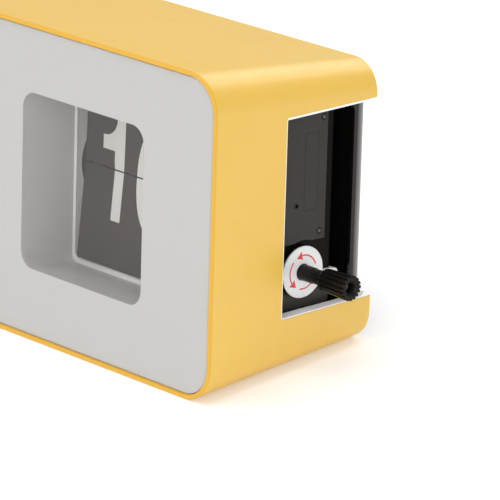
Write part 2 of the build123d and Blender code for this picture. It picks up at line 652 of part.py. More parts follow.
with BuildPart() as knob_grip:
    with BuildSketch(across(180.4)):
        with Locations((KN_Y, KN_Z)):
            Circle(6.0)
            with PolarLocations(6.35, 16):
                Circle(0.95)
    extrude(amount=X_KNOB_END - 180.4)
    # both ends drawn in
    with BuildSketch(Plane(origin=P(0, KN_Y, KN_Z), x_dir=UX, z_dir=(0, -c_, s_))):
        with BuildLine():
            Polyline((180.0, 0), (180.0, 5.4), (181.8, 6.6), (202.2, 7.35), (203.0, 6.7), (203.0, 0), close=True)
        make_face()
    revolve(axis=Axis(P(0, KN_Y, KN_Z), (1, 0, 0)), mode=Mode.INTERSECT)
    # hollow end, dished and splined inside
    with BuildSketch(across(X_KNOB_END - 6.0)):
        with Locations((KN_Y, KN_Z)):
            Circle(3.1)
            with PolarLocations(3.1, 12):
                Circle(0.45)
    extrude(amount=7.0, mode=Mode.SUBTRACT)
    with BuildSketch(Plane(origin=P(0, KN_Y, KN_Z), x_dir=UX, z_dir=(0, -c_, s_))):
        with BuildLine():
            Polyline((X_KNOB_END - 1.3, 0), (X_KNOB_END - 1.3, 3.4), (X_KNOB_END + 0.2, 5.0), (X_KNOB_END + 0.2, 0), close=True)
        make_face()
    revolve(axis=Axis(P(0, KN_Y, KN_Z), (1, 0, 0)), mode=Mode.SUBTRACT)
    with BuildSketch(across(180.0)):
        with Locations((KN_Y, KN_Z)):
            Circle(2.02)
    extrude(amount=30.0, mode=Mode.SUBTRACT)
knob_grip.part.label = "knob_grip"
export_step(knob_grip.part, "parts/knob_grip.step")
with BuildPart() as setting_disc:
    with BuildSketch(across(X_COVER + 0.05)):
        with Locations((KN_Y, KN_Z)):
            Circle(15.0)
            Circle(4.9, mode=Mode.SUBTRACT)
    extrude(amount=0.95)
    fillet(edges().group_by(AXX)[-1].sort_by(SortBy.LENGTH)[-1], 0.3)
setting_disc.part.label = "setting_disc"
export_step(setting_disc.part, "parts/setting_disc.step")

# ================================================================= GEAR COVER, MOTOR, ELECTRICS
# Black moulded cover over the train: a raised panel, a lower margin along the
# back edge and round the disc, and side walls that reach to the frame plate.
CV_Y0, CV_Y1, CV_Z0, CV_Z1 = 46.0, 107.0, 37.0, 158.0
with BuildPart() as gear_cover:
    with BuildSketch(across(X_PLATE + 1.05)):
        with Locations(((CV_Y0 + CV_Y1) / 2, (CV_Z0 + CV_Z1) / 2)):
            RectangleRounded(CV_Y1 - CV_Y0, CV_Z1 - CV_Z0, 3.0)
    extrude(amount=X_COVER - 3.0 - X_PLATE - 1.05)
    with BuildSketch(across(X_PLATE + 1.0)):
        with Locations(((CV_Y0 + CV_Y1) / 2, (CV_Z0 + CV_Z1) / 2)):
            RectangleRounded(CV_Y1 - CV_Y0 - 3.6, CV_Z1 - CV_Z0 - 3.6, 1.5)
    extrude(amount=X_COVER - 5.0 - X_PLATE - 1.0, mode=Mode.SUBTRACT)
    with BuildSketch(across(X_COVER - 3.2)):
        with Locations(((CV_Y0 + 100.0) / 2, (76.5 + CV_Z1) / 2)):
            Rectangle(100.0 - CV_Y0, CV_Z1 - 76.5)
        with Locations((KN_Y, KN_Z)):
            Circle(18.4, mode=Mode.SUBTRACT)
    extrude(amount=3.2)
    # seat of the setting disc
    with BuildSketch(across(X_COVER - 3.2)):
        with Locations((KN_Y, KN_Z)):
            Circle(13.6)
    extrude(amount=3.2)
    with BuildSketch(across(X_PLATE)):
        with Locations((KN_Y, KN_Z)):
            Circle(2.0 + 0.4)
    extrude(amount=60, mode=Mode.SUBTRACT)
    # raised frame of the blank label field
    with BuildSketch(across(X_COVER - 0.1)):
        with Locations((88.9, 116.5)):
            Rectangle(10.4, 44.6)
            Rectangle(9.8, 44.0, mode=Mode.SUBTRACT)
    extrude(amount=0.22)
    # screw seats
    with BuildSketch(across(X_COVER - 1.2)):
        with Locations((97.0, 146.9), (96.0, 81.2), (60.0, 151.0)):
            Circle(1.9)
    extrude(amount=5.0, mode=Mode.SUBTRACT)
    with BuildSketch(across(X_COVER - 0.1)):
        with Locations((78.1, 98.1)):
            Circle(2.0)
    extrude(amount=0.35)
    with BuildSketch(across(X_COVER - 1.3)):
        with Locations((78.1, 98.1)):
            Circle(1.3)
    extrude(amount=3.0, mode=Mode.SUBTRACT)
gear_cover.part.label = "gear_cover"
export_step(gear_cover.part, "parts/gear_cover.step")

with BuildPart() as cover_screws:
    with BuildSketch(across(X_COVER - 1.15)):
        with Locations((97.0, 146.9), (96.0, 81.2), (60.0, 151.0)):
            Circle(1.6)
    extrude(amount=1.3)
    with BuildSketch(across(X_COVER - 0.5)):
        for sy, sz in ((97.0, 146.9), (96.0, 81.2), (60.0, 151.0)):
            with Locations((sy, sz)):
                Rectangle(2.2, 0.5)
                Rectangle(0.5, 2.2)
    extrude(amount=2.0, mode=Mode.SUBTRACT)
cover_screws.part.label = "cover_screws"
export_step(cover_screws.part, "parts/cover_screws.step")

# Motor with its gearbox, fixed outside the frame plate, pinion inside it.
with BuildPart() as motor_unit:
    with BuildSketch(across(X_PLATE + 1.05)):
        with Locations((MO_Y + 12.5, MO_Z - 4.0)):
            RectangleRounded(28.0, 40.0, 3.0)
    extrude(amount=9.0)
    with BuildSketch(across(X_PLATE + 10.0)):
        with Locations((MO_Y + 12.5, MO_Z - 2.0)):
            Circle(11.0)
    extrude(amount=8.5)
    with BuildSketch(across(X_PLATE)):
        with Locations((MO_Y, MO_Z)):
            Circle(1.2 + RUN)
    extrude(amount=9.0, mode=Mode.SUBTRACT)
motor_unit.part.label = "motor_unit"
export_step(motor_unit.part, "parts/motor_unit.step")
motor_pinion = gear(126.0, 131.0, MO_Y, MO_Z, N_MOT, M, PH_MOT, 1.22)
motor_pinion.part.label = "motor_pinion"
export_step(motor_pinion.part, "parts/motor_pinion.step")
with BuildPart() as motor_shaft:
    with BuildSketch(across(125.4)):
        with Locations((MO_Y, MO_Z)):
            Circle(1.2)
    extrude(amount=X_PLATE + 8.0 - 125.4)
motor_shaft.part.label = "motor_shaft"
export_step(motor_shaft.part, "parts/motor_shaft.step")

# Small white clip that holds the leads, behind the lower edge of the cover.
with BuildPart() as lead_clip:
    with BuildSketch(across(147.0)):
        with Locations((CV_Y1 + 4.0, 49.2)):
            RectangleRounded(6.6, 8.0, 1.6)
    extrude(amount=8.0)
    with BuildSketch(across(149.0)):
        with Locations((CV_Y1 + 0.6, 49.4)):
            Rectangle(1.1, 6.0)
    extrude(amount=4.0)
    # tongue that comes forward round the cover's edge and lies on its margin
    with BuildSketch(across(154.5)):
        with BuildLine():
            Polyline((CV_Y1 + 0.4, 50.0), (CV_Y1 + 5.2, 50.0), (CV_Y1 + 5.2, 54.6), (CV_Y1 + 4.2, 56.4),
                     (CV_Y1 + 0.4, 57.0), close=True)
        make_face()
    extrude(amount=6.0)
    with BuildSketch(across(158.8)):
        with BuildLine():
            Polyline((101.4, 55.0), (CV_Y1 + 1.0, 53.6), (CV_Y1 + 1.0, 57.1), (101.4, 57.3), close=True)
        make_face()
    extrude(amount=1.7)
lead_clip.part.label = "lead_clip"
export_step(lead_clip.part, "parts/lead_clip.step")

with BuildPart() as circuit_board:
    with BuildSketch(across(X_PLATE + 6.0)):
        with Locations((88.0, 122.0)):
            Rectangle(26.0, 34.0)
    extrude(amount=1.2)
    with BuildSketch(across(X_PLATE + 7.1)):
        with Locations((86.0, 126.0)):
            Rectangle(9.0, 6.0)
    extrude(amount=2.0)
    with BuildSketch(across(X_PLATE + 1.05)):
        with Locations((77.0, 107.0), (99.0, 107.0), (77.0, 137.0), (99.0, 137.0)):
            Circle(1.6)
    extrude(amount=5.0)
circuit_board.part.label = "circuit_board"
export_step(circuit_board.part, "parts/circuit_board.step")

# Battery box, cell, and contacts, upright behind the door.
CELL_X, CELL_Y, CELL_R = (BX0 + BX1) / 2, 105.0, 13.1
BOX_Y0, BOX_Y1 = 90.0, 119.0
with BuildPart() as battery_box:
    with BuildSketch(across(BX0 - 1.2)):
        with Locations(((BOX_Y0 + BOX_Y1) / 2, (BZ0 + BZ1) / 2)):
            Rectangle(BOX_Y1 - BOX_Y0, BZ1 - BZ0 + 2.4)
    extrude(amount=BX1 - BX0 + 2.4)
    with BuildSketch(across(BX0)):
        with Locations(((BOX_Y0 + 1.2 + 130.0) / 2, (BZ0 + BZ1) / 2)):
            Rectangle(130.0 - BOX_Y0 - 1.2, BZ1 - BZ0)
    extrude(amount=BX1 - BX0, mode=Mode.SUBTRACT)
battery_box.part.label = "battery_box"
export_step(battery_box.part, "parts/battery_box.step")
with BuildPart() as battery_cell:
    with BuildSketch(level(BZ0 + 3.0)):
        with Locations((CELL_X, CELL_Y)):
            Circle(CELL_R)
    extrude(amount=48.0)
    fillet(edges().filter_by(GeomType.CIRCLE), 0.8)
    with BuildSketch(level(BZ0 + 50.9)):
        with Locations((CELL_X, CELL_Y)):
            Circle(2.9)
    extrude(amount=1.9)
battery_cell.part.label = "battery_cell"
export_step(battery_cell.part, "parts/battery_cell.step")
with BuildPart() as contact_plate:
    with BuildSketch(level(BZ1 - 0.6)):
        with Locations((CELL_X, CELL_Y)):
            Rectangle(12.0, 12.0)
    extrude(amount=0.55)
    with BuildSketch(level(BZ1 - 2.1)):
        with Locations((CELL_X, CELL_Y)):
            Circle(2.5)
    extrude(amount=1.5)
contact_plate.part.label = "contact_plate"
export_step(contact_plate.part, "parts/contact_plate.step")
with BuildPart() as contact_spring:
    with BuildSketch(level(BZ0 + 0.05)):
        with Locations((CELL_X, CELL_Y)):
            Circle(7.0)
            Circle(6.1, mode=Mode.SUBTRACT)
    extrude(amount=0.9)
    with BuildSketch(level(BZ0 + 0.9)):
        with Locations((CELL_X, CELL_Y)):
            Circle(6.3)
            Circle(5.2, mode=Mode.SUBTRACT)
    extrude(amount=0.9)
    with BuildSketch(level(BZ0 + 1.75)):
        with Locations((CELL_X, CELL_Y)):
            Circle(5.4)
            Circle(4.3, mode=Mode.SUBTRACT)
    extrude(amount=1.2)
contact_spring.part.label = "contact_spring"
export_step(contact_spring.part, "parts/contact_spring.step")

# Two leads from the battery box along the floor of the case to the motor.
LEAD_R = 0.7
LEAD_PTS = [(BX1 + 2.0, 116.0, 50.0), (-117.0, 119.5, 46.0), (-108.0, 120.2, 27.0), (-84.0, 120.2, 20.6), (-50.0, 120.2, 20.2),
            (-10.0, 120.2, 20.8), (30.0, 120.2, 20.2), (70.0, 120.2, 20.6), (104.0, 120.2, 20.9), (124.0, 120.2, 28.0),
            (138.0, 118.4, 42.0), (146.2, 112.8, 51.4)]
def lead(dx, dz):
    pts = [Vector(*P(x + dx, y, z + dz)) for x, y, z in LEAD_PTS]
    rad = []
    for i in range(1, len(pts) - 1):
        a, b = pts[i] - pts[i - 1], pts[i + 1] - pts[i]
        rad.append(max(3.5, 0.45 * min(a.length, b.length) / tan(radians(a.get_angle(b)) / 2)))
    return pts, rad

with BuildPart() as battery_lead_red:
    pts, rad = lead(0, 0.0)
    with BuildLine() as path:
        FilletPolyline(*pts, radius=rad)
    with BuildSketch(Plane(origin=path.line @ 0, z_dir=path.line % 0)):
        Circle(LEAD_R)
    sweep()
battery_lead_red.part.label = "battery_lead_red"
export_step(battery_lead_red.part, "parts/battery_lead_red.step")


# ================================================================= LEAVES
def pivot(a):
    """Leaf pivot at a degrees above the front of the drum."""
    return AX_Y - R_PIVOT * cos(radians(a)), AX_Z + R_PIVOT * sin(radians(a))


def fan_angle(a):
    """Direction of a resting leaf from straight up, turning back, in degrees."""
    return min(a - 5.0, 178.0)


def leaf_quad(a, phi, r0, r1):
    """Section of a leaf: from r0 to r1 along its direction, LEAF_T thick."""
    py, pz = pivot(a)
    dy, dz = sin(radians(phi)), cos(radians(phi))
    ny, nz = dz * LEAF_T / 2, -dy * LEAF_T / 2
    return [(py + dy * r0 + ny, pz + dz * r0 + nz), (py + dy * r1 + ny, pz + dz * r1 + nz),
            (py + dy * r1 - ny, pz + dz * r1 - nz), (py + dy * r0 - ny, pz + dz * r0 - nz)]


def leaves(x0, x1, items):
    """Leaves as separate thin plates: items of (pivot angle, direction, r0, r1)."""
    with BuildPart() as f:
        with BuildSketch(across(x0)):
            for it in items:
                with BuildLine():
                    Polyline(*leaf_quad(*it), close=True)
                make_face()
        extrude(amount=x1 - x0)
    return f


def shown(x0, x1, a, phi, ext):
    """A shown leaf: the plate, with short pivot tabs at its hinge edge."""
    py, pz = pivot(a)
    with BuildPart() as f:
        with BuildSketch(across(x0)):
            with BuildLine():
                Polyline(*leaf_quad(a, phi, -ext, LEAF_L), close=True)
            make_face()
        extrude(amount=x1 - x0)
        for xa in (x0 - 0.5, x1 - 1.0):
            with BuildSketch(across(xa)):
                with Locations((py, pz)):
                    Circle(0.32)
            extrude(amount=1.5)
    return f


STEP_M, STEP_H = 360.0 / N_MIN, 360.0 / N_HOUR
EXT = 1.15             # leaf beyond its pivot, up to the split line
minute_leaf_upper = shown(LEAF_X0, LEAF_X1, A_UP, LEAN_UP, EXT)
minute_leaf_upper.part.label = "minute_leaf_upper"
export_step(minute_leaf_upper.part, "parts/minute_leaf_upper.step")
minute_leaf_lower = shown(LEAF_X0, LEAF_X1, A_UP - STEP_M, 180 + LEAN_LOW, EXT)
minute_leaf_lower.part.label = "minute_leaf_lower"
export_step(minute_leaf_lower.part, "parts/minute_leaf_lower.step")
up_m = [A_UP + STEP_M * k for k in range(1, 30)]
low_m = [A_UP + STEP_M * k for k in range(30, N_MIN - 1)]
minute_fan_upper = leaves(LEAF_X0, LEAF_X1, [(a, fan_angle(a), 0.3, LEAF_L) for a in up_m])
minute_fan_upper.part.label = "minute_fan_upper"
export_step(minute_fan_upper.part, "parts/minute_fan_upper.step")
minute_fan_lower = leaves(LEAF_X0, LEAF_X1, [(a, fan_angle(a), 0.3, LEAF_L) for a in low_m])
minute_fan_lower.part.label = "minute_fan_lower"
export_step(minute_fan_lower.part, "parts/minute_fan_lower.step")

hour_leaf_upper = shown(-LEAF_X1, -LEAF_X0, A_UP, LEAN_UP, EXT)
hour_leaf_upper.part.label = "hour_leaf_upper"
export_step(hour_leaf_upper.part, "parts/hour_leaf_upper.step")
hour_leaf_lower = shown(-LEAF_X1, -LEAF_X0, A_UP - STEP_M, 180 + LEAN_LOW, EXT)
hour_leaf_lower.part.label = "hour_leaf_lower"
export_step(hour_leaf_lower.part, "parts/hour_leaf_lower.step")
rest_h = [A_UP + STEP_H * k for k in range(1, N_HOUR - 1)]
hour_fan_upper = leaves(-LEAF_X1, -LEAF_X0, [(a, fan_angle(a), 0.3, LEAF_L) for a in rest_h if a < 183])
hour_fan_upper.part.label = "hour_fan_upper"
export_step(hour_fan_upper.part, "parts/hour_fan_upper.step")
hour_fan_lower = leaves(-LEAF_X1, -LEAF_X0, [(a, fan_angle(a), 0.3, LEAF_L) for a in rest_h if a >= 183])
hour_fan_lower.part.label = "hour_fan_lower"
export_step(hour_fan_lower.part, "parts/hour_fan_lower.step")


# Spring fingers under the top of the case that hold each upper leaf's tip
# until its pivot has moved on: a bar on the rods with a thin downward tongue.
def finger(x0, x1):
    py, pz = pivot(A_UP)
    tip_y = py + LEAF_L * sin(radians(LEAN_UP))
    tip_z = pz + LEAF_L * cos(radians(LEAN_UP))
    xm = (x0 + x1) / 2
    with BuildPart() as f:
        with BuildSketch(across(xm - 3.0)):
            with BuildLine():
                Polyline((tip_y - 0.55, tip_z + 0.4), (tip_y - 0.25, tip_z + 0.4), (tip_y - 0.25, tip_z + 6.2),
                         (51.0, 150.0), (51.0, 150.4), (tip_y - 0.55, tip_z + 6.4), close=True)
            make_face()
        extrude(amount=6.0)
        with BuildSketch(across(xm - 3.0)):
            with Locations((54.0, 153.0)):
                Circle(R_ROD + 2.2)
                Circle(R_ROD + 0.05, mode=Mode.SUBTRACT)
        extrude(amount=6.0)
    return f


minute_finger = finger(LEAF_X0, LEAF_X1)
minute_finger.part.label = "minute_finger"
export_step(minute_finger.part, "parts/minute_finger.step")
hour_finger = finger(-LEAF_X1, -LEAF_X0)
hour_finger.part.label = "hour_finger"
export_step(hour_finger.part, "parts/hour_finger.step")

print("upper leaf pivot minute/hour (row)", [round(v, 4) for v in P(0, *pivot(A_UP))])
print("drum axis (row)", [round(v, 4) for v in P(0, AX_Y, AX_Z)])
print("knob axis (row)", [round(v, 4) for v in P(0, KN_Y, KN_Z)])
print("idler axis (row)", [round(v, 4) for v in P(0, ID_Y, ID_Z)])
print("motor axis (row)", [round(v, 4) for v in P(0, MO_Y, MO_Z)])
print("counter axis (row)", [round(v, 4) for v in P(0, CS_Y, CS_Z)])
print("door hinge (row)", [round(v, 4) for v in P(0, HINGE_Y, HINGE_Z)])
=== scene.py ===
import json
import math

import bmesh
import bpy
from mathutils import Matrix, Vector


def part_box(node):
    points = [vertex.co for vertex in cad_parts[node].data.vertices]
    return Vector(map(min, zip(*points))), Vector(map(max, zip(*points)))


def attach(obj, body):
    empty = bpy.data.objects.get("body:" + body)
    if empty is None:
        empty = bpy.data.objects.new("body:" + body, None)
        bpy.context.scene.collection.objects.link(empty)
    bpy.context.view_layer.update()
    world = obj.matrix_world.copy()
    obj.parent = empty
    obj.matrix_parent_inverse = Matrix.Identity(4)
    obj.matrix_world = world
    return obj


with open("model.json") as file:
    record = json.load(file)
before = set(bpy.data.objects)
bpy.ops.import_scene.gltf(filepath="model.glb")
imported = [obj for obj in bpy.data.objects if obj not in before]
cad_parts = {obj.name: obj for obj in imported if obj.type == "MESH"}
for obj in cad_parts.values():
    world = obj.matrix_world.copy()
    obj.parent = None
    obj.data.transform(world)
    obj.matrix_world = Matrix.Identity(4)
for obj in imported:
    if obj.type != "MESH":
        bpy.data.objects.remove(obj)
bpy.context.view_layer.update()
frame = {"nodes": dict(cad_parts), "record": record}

scene = bpy.context.scene
N = frame["nodes"]

# ------------------------------------------------------------------ the lean
# The face frame (x to the right, y into the clock, z up the face, in mm) stands
# on the base leaning back by LEAN, as it does in the CAD.
LEAN = math.radians(4.9)
C, S = math.cos(LEAN), math.sin(LEAN)
BASE_Y = -130.5 / C / 2
UX, UY, UZ = Vector((1, 0, 0)), Vector((0, C, -S)), Vector((0, S, C))


def P(x, y, z):
    """A point of the face frame, in mm, as a row-frame point in metres."""
    return Vector((x, BASE_Y + y * C + z * S, -y * S + z * C)) / 1000


def V(x, y, z):
    """A direction of the face frame in the row frame."""
    return UX * x + UY * y + UZ * z


# ------------------------------------------------------------------ node helpers
def srgb(r, g, b):
    def f(c):
        c /= 255
        return c / 12.92 if c <= 0.04045 else ((c + 0.055) / 1.055) ** 2.4
    return (f(r), f(g), f(b), 1.0)


class Tree:
    """Small helper for node trees: t.add(type, inputs...) and t.link(a, b)."""

    def __init__(self, name):
        self.mat = bpy.data.materials.new(name)
        self.mat.use_nodes = True
        self.nt = self.mat.node_tree
        self.nt.nodes.clear()
        self.out = self.nt.nodes.new("ShaderNodeOutputMaterial")

    def add(self, kind, props=None, **inputs):
        n = self.nt.nodes.new(kind)
        for k, v in (props or {}).items():
            setattr(n, k, v)
        for k, v in inputs.items():
            key = k.replace("_", " ")
            sock = n.inputs[int(k[1:])] if k[0] == "i" and k[1:].isdigit() else n.inputs[key]
            if isinstance(v, bpy.types.NodeSocket):
                self.nt.links.new(v, sock)
            else:
                sock.default_value = v
        return n

    def link(self, a, b):
        self.nt.links.new(a, b)

    def math(self, op, a, b=0.0, c=0.0, clamp=False):
        n = self.add("ShaderNodeMath", {"operation": op, "use_clamp": clamp}, i0=a, i1=b, i2=c)
        return n.outputs[0]

    def coords(self, scale=(1, 1, 1), rot=(0, 0, 0)):
        tc = self.add("ShaderNodeTexCoord")
        m = self.add("ShaderNodeMapping", None, Vector=tc.outputs["Object"], Scale=scale, Rotation=rot)
        return m.outputs[0]

    def face(self):
        """The shading point in the face frame at rest, in mm: (x, y, z) sockets."""
        tc = self.add("ShaderNodeTexCoord")
        rel = self.add("ShaderNodeVectorMath", {"operation": "SUBTRACT"}, i0=tc.outputs["Object"], i1=(0, BASE_Y / 1000, 0))
        out = []
        for axis in (UX, UY, UZ):
            d = self.add("ShaderNodeVectorMath", {"operation": "DOT_PRODUCT"}, i0=rel.outputs[0], i1=tuple(axis * 1000))
            out.append(d.outputs["Value"])
        return out

    def noise(self, vec, scale, detail=3.0, rough=0.55):
        n = self.add("ShaderNodeTexNoise", None, Vector=vec, Scale=scale, Detail=detail, Roughness=rough)
        return n.outputs["Fac"]

    def remap(self, v, a, b, lo, hi):
        n = self.add("ShaderNodeMapRange", None, Value=v, From_Min=a, From_Max=b, To_Min=lo, To_Max=hi)
        return n.outputs[0]

    def mix(self, fac, a, b, blend="MIX"):
        n = self.add("ShaderNodeMix", {"data_type": "RGBA", "blend_type": blend})
        for sock, v in ((n.inputs[0], fac), (n.inputs[6], a), (n.inputs[7], b)):
            if isinstance(v, bpy.types.NodeSocket):
                self.nt.links.new(v, sock)
            else:
                sock.default_value = v
        return n.outputs[2]


def edge_mask(t, radius, gain):
    """1 on convex and concave edges, 0 on flats, from a bevelled normal."""
    bev = t.add("ShaderNodeBevel", {"samples": 4}, Radius=radius)
    geo = t.add("ShaderNodeNewGeometry")
    dot = t.add("ShaderNodeVectorMath", {"operation": "DOT_PRODUCT"}, i0=bev.outputs[0], i1=geo.outputs["Normal"])
    return bev.outputs[0], t.math("MULTIPLY", t.math("SUBTRACT", 1.0, dot.outputs["Value"]), gain, clamp=True)


def plastic(name, color, rough, grain=0.0, grain_scale=900.0, wave=0.0, wave_scale=22.0, vary=0.03, rough_vary=0.05,
            spec=0.5, coat=0.0, metallic=0.0, bevel=0.00025, wear=0.06, wear_color=None, dust=0.0, aniso=None, ior=1.47):
    """Moulded or painted surface: colour drift, roughness drift, fine grain, slow
    waviness, softened edges that are a little worn, and dust on what faces up."""
    t = Tree(name)
    vec = t.coords(scale=aniso or (1, 1, 1))
    slow = t.noise(vec, 14.0, 4.0, 0.6)
    mid = t.noise(vec, 95.0, 3.0, 0.6)
    fine = t.noise(vec, grain_scale, 2.0, 0.6)
    dark = tuple(c * (1 - vary) for c in color[:3]) + (1,)
    light = tuple(min(1.0, c * (1 + vary)) for c in color[:3]) + (1,)
    col = t.mix(t.remap(slow, 0.3, 0.7, 0.0, 1.0), dark, light)
    col = t.mix(t.remap(mid, 0.35, 0.75, 0.0, vary * 1.5), col, tuple(c * 0.86 for c in color[:3]) + (1,))
    normal, edges = edge_mask(t, bevel, 3.0)
    wc = wear_color or tuple(min(1.0, c * 1.25 + 0.03) for c in color[:3]) + (1,)
    broken = t.math("MULTIPLY", edges, t.remap(t.noise(vec, 260.0, 3.0), 0.35, 0.65, 0.3, 1.0))
    col = t.mix(t.math("MULTIPLY", broken, wear), col, wc)
    r = t.remap(mid, 0.3, 0.7, max(0.02, rough - rough_vary), min(1.0, rough + rough_vary))
    if dust:
        geo = t.add("ShaderNodeNewGeometry")
        sep = t.add("ShaderNodeSeparateXYZ", None, i0=geo.outputs["Normal"])
        up = t.remap(sep.outputs[2], 0.2, 1.0, 0.0, 1.0)
        d = t.math("MULTIPLY", t.math("MULTIPLY", up, t.remap(fine, 0.45, 0.8, 0.0, 1.0)), dust, clamp=True)
        col = t.mix(d, col, srgb(190, 186, 180))
        r = t.math("ADD", r, t.math("MULTIPLY", d, 0.5), clamp=True)
    if wave:
        b0 = t.add("ShaderNodeBump", None, Strength=1.0, Distance=wave, Height=t.noise(vec, wave_scale, 2.0, 0.5), Normal=normal)
        normal = b0.outputs[0]
    if grain:
        b1 = t.add("ShaderNodeBump", None, Strength=1.0, Distance=grain, Height=fine, Normal=normal)
        normal = b1.outputs[0]
    p = t.add("ShaderNodeBsdfPrincipled", None, Base_Color=col, Roughness=r, Normal=normal, Metallic=metallic, IOR=ior,
              Specular_IOR_Level=spec, Coat_Weight=coat, Coat_Roughness=0.08)
    t.link(p.outputs[0], t.out.inputs[0])
    return t.mat


def metal(name, color, rough, brushed=(1, 1, 1), scale=700.0, bevel=0.0002, tarnish=0.12):
    t = Tree(name)
    vec = t.coords(scale=brushed)
    streak = t.noise(vec, scale, 4.0, 0.65)
    spots = t.noise(t.coords(), 120.0, 4.0, 0.6)
    dull = tuple(c * (1 - tarnish * 2) for c in color[:3]) + (1,)
    col = t.mix(t.remap(spots, 0.35, 0.8, 0.0, 1.0), color, dull)
    normal, edges = edge_mask(t, bevel, 3.0)
    bump = t.add("ShaderNodeBump", None, Strength=0.6, Distance=0.00001, Height=streak, Normal=normal)
    r = t.remap(streak, 0.3, 0.7, max(0.05, rough - 0.08), rough + 0.1)
    p = t.add("ShaderNodeBsdfPrincipled", None, Base_Color=col, Roughness=r, Metallic=1.0, Normal=bump.outputs[0])
    t.link(p.outputs[0], t.out.inputs[0])
    return t.mat


def lens_material():
    """Clear moulded window: what is behind shows through, and both of its
    surfaces reflect. The back face of the plate adds nothing twice."""
    t = Tree("lens_clear")
    vec = t.coords()
    fres = t.add("ShaderNodeFresnel", None, IOR=1.49)
    geo = t.add("ShaderNodeNewGeometry")
    front = t.math("SUBTRACT", 1.0, geo.outputs["Backfacing"])
    fac = t.math("MULTIPLY", t.math("MULTIPLY", fres.outputs[0], 1.15), front, clamp=True)
    smear = t.remap(t.noise(vec, 9.0, 5.0, 0.65), 0.35, 0.75, 0.01, 0.07)
    wavy = t.add("ShaderNodeBump", None, Strength=0.25, Distance=0.00004, Height=t.noise(vec, 16.0, 2.0))
    glossy = t.add("ShaderNodeBsdfGlossy", None, Color=(1, 1, 1, 1), Roughness=smear, Normal=wavy.outputs[0])
    clear = t.add("ShaderNodeBsdfTransparent", None, Color=(0.985, 0.985, 0.982, 1))
    mixn = t.add("ShaderNodeMixShader", None, i0=fac, i1=clear.outputs[0], i2=glossy.outputs[0])
    t.link(mixn.outputs[0], t.out.inputs[0])
    return t.mat


M = {
    "trim_white": plastic("trim_white", srgb(246, 246, 245), 0.35, grain=0.000006, vary=0.015, bevel=0.0002, dust=0.05),
    "lens_clear": lens_material(),
    "face_grey": plastic("face_grey", srgb(195, 194, 192), 0.38, grain=0.000004, grain_scale=2200, wave=0.00002, wave_scale=6,
                         vary=0.01, rough_vary=0.03, bevel=0.0003, wear=0.02),
    "tunnel_grey": plastic("tunnel_grey", srgb(197, 194, 192), 0.45, grain=0.00001, grain_scale=1300, vary=0.015, bevel=0.0005,
                           wear=0.05),
    "screw_black": metal("screw_black", srgb(118, 115, 112), 0.30),
    "drum_black": plastic("drum_black", srgb(30, 29, 28), 0.5, grain=0.00002, vary=0.06, wear=0.12),
    "gear_white": plastic("gear_white", srgb(222, 220, 210), 0.4, grain=0.000008, vary=0.03),
    # The knob's edges take a pale grey wear colour: partly wear, partly a painted highlight on the ridge ends.
    "knob_black": plastic("knob_black", (0.0088, 0.0076, 0.0070, 1), 0.34, spec=0.17, grain=0.000018, grain_scale=1500, vary=0.10, rough_vary=0.09,
                          bevel=0.0003, wear=0.10, wear_color=srgb(80, 77, 74)),
    "disc_white": plastic("disc_white", srgb(236, 236, 236), 0.28, grain=0.000003, vary=0.01, bevel=0.0003, wear=0.03),
    "motor_grey": plastic("motor_grey", srgb(70, 70, 70), 0.45, grain=0.00002, vary=0.05),
    "steel": metal("steel", srgb(190, 190, 188), 0.32, brushed=(0.15, 1, 1)),
    "spring_steel": metal("spring_steel", srgb(186, 184, 180), 0.25),
    "brass": metal("brass", srgb(206, 170, 98), 0.28),
    "board_green": plastic("board_green", srgb(36, 92, 48), 0.4, grain=0.00001, vary=0.05),
    "cell_red": plastic("cell_red", srgb(150, 30, 26), 0.25, coat=0.3, vary=0.03),
    "lead_red": plastic("lead_red", srgb(160, 20, 18), 0.5, vary=0.04),
}
M["numeral_white"] = plastic("numeral_white", srgb(232, 229, 226), 0.5, grain=0.000005, vary=0.012, bevel=0.0001, wear=0.02)
M["arrow_red"] = plastic("arrow_red", srgb(226, 66, 62), 0.4, grain=0.000003, vary=0.03, bevel=0.0001, wear=0.05)



def sleeve_material():
    """Painted sleeve: satin yellow with fine orange peel; the turned front rim is
    smoother and painted deeper in colour, a painted shade for the pale reflection
    that the side catches and the rim does not, with less specular there."""
    t = Tree("sleeve_yellow")
    vec = t.coords()
    fx, fy, fz = t.face()
    rim = t.remap(fy, 1.1, 1.9, 0.72, 0.0)
    slow = t.noise(vec, 14.0, 4.0, 0.6)
    mid = t.noise(vec, 95.0, 3.0, 0.6)
    fine = t.noise(vec, 1500.0, 2.0, 0.6)
    col = t.mix(t.remap(slow, 0.3, 0.7, 0.0, 1.0), (0.765, 0.470, 0.042, 1), (0.785, 0.488, 0.047, 1))
    col = t.mix(t.remap(mid, 0.4, 0.75, 0.0, 0.05), col, (0.62, 0.36, 0.03, 1))
    # Painted shade: the front rim is mixed towards a deeper orange.
    col = t.mix(rim, col, (0.74, 0.385, 0.020, 1))
    normal, edges = edge_mask(t, 0.0006, 3.0)
    col = t.mix(t.math("MULTIPLY", edges, 0.10), col, (0.82, 0.50, 0.05, 1))
    b0 = t.add("ShaderNodeBump", None, Strength=1.0, Distance=0.00004, Height=t.noise(vec, 9.0, 2.0, 0.5), Normal=normal)
    b1 = t.add("ShaderNodeBump", None, Strength=1.0, Distance=0.000012, Height=fine, Normal=b0.outputs[0])
    spec = t.math("SUBTRACT", 0.95, t.math("MULTIPLY", rim, 0.75))
    p = t.add("ShaderNodeBsdfPrincipled", None, Base_Color=col, Roughness=t.remap(mid, 0.3, 0.7, 0.37, 0.45),
              Normal=b1.outputs[0], Specular_IOR_Level=spec, IOR=1.55)
    t.link(p.outputs[0], t.out.inputs[0])
    return t.mat


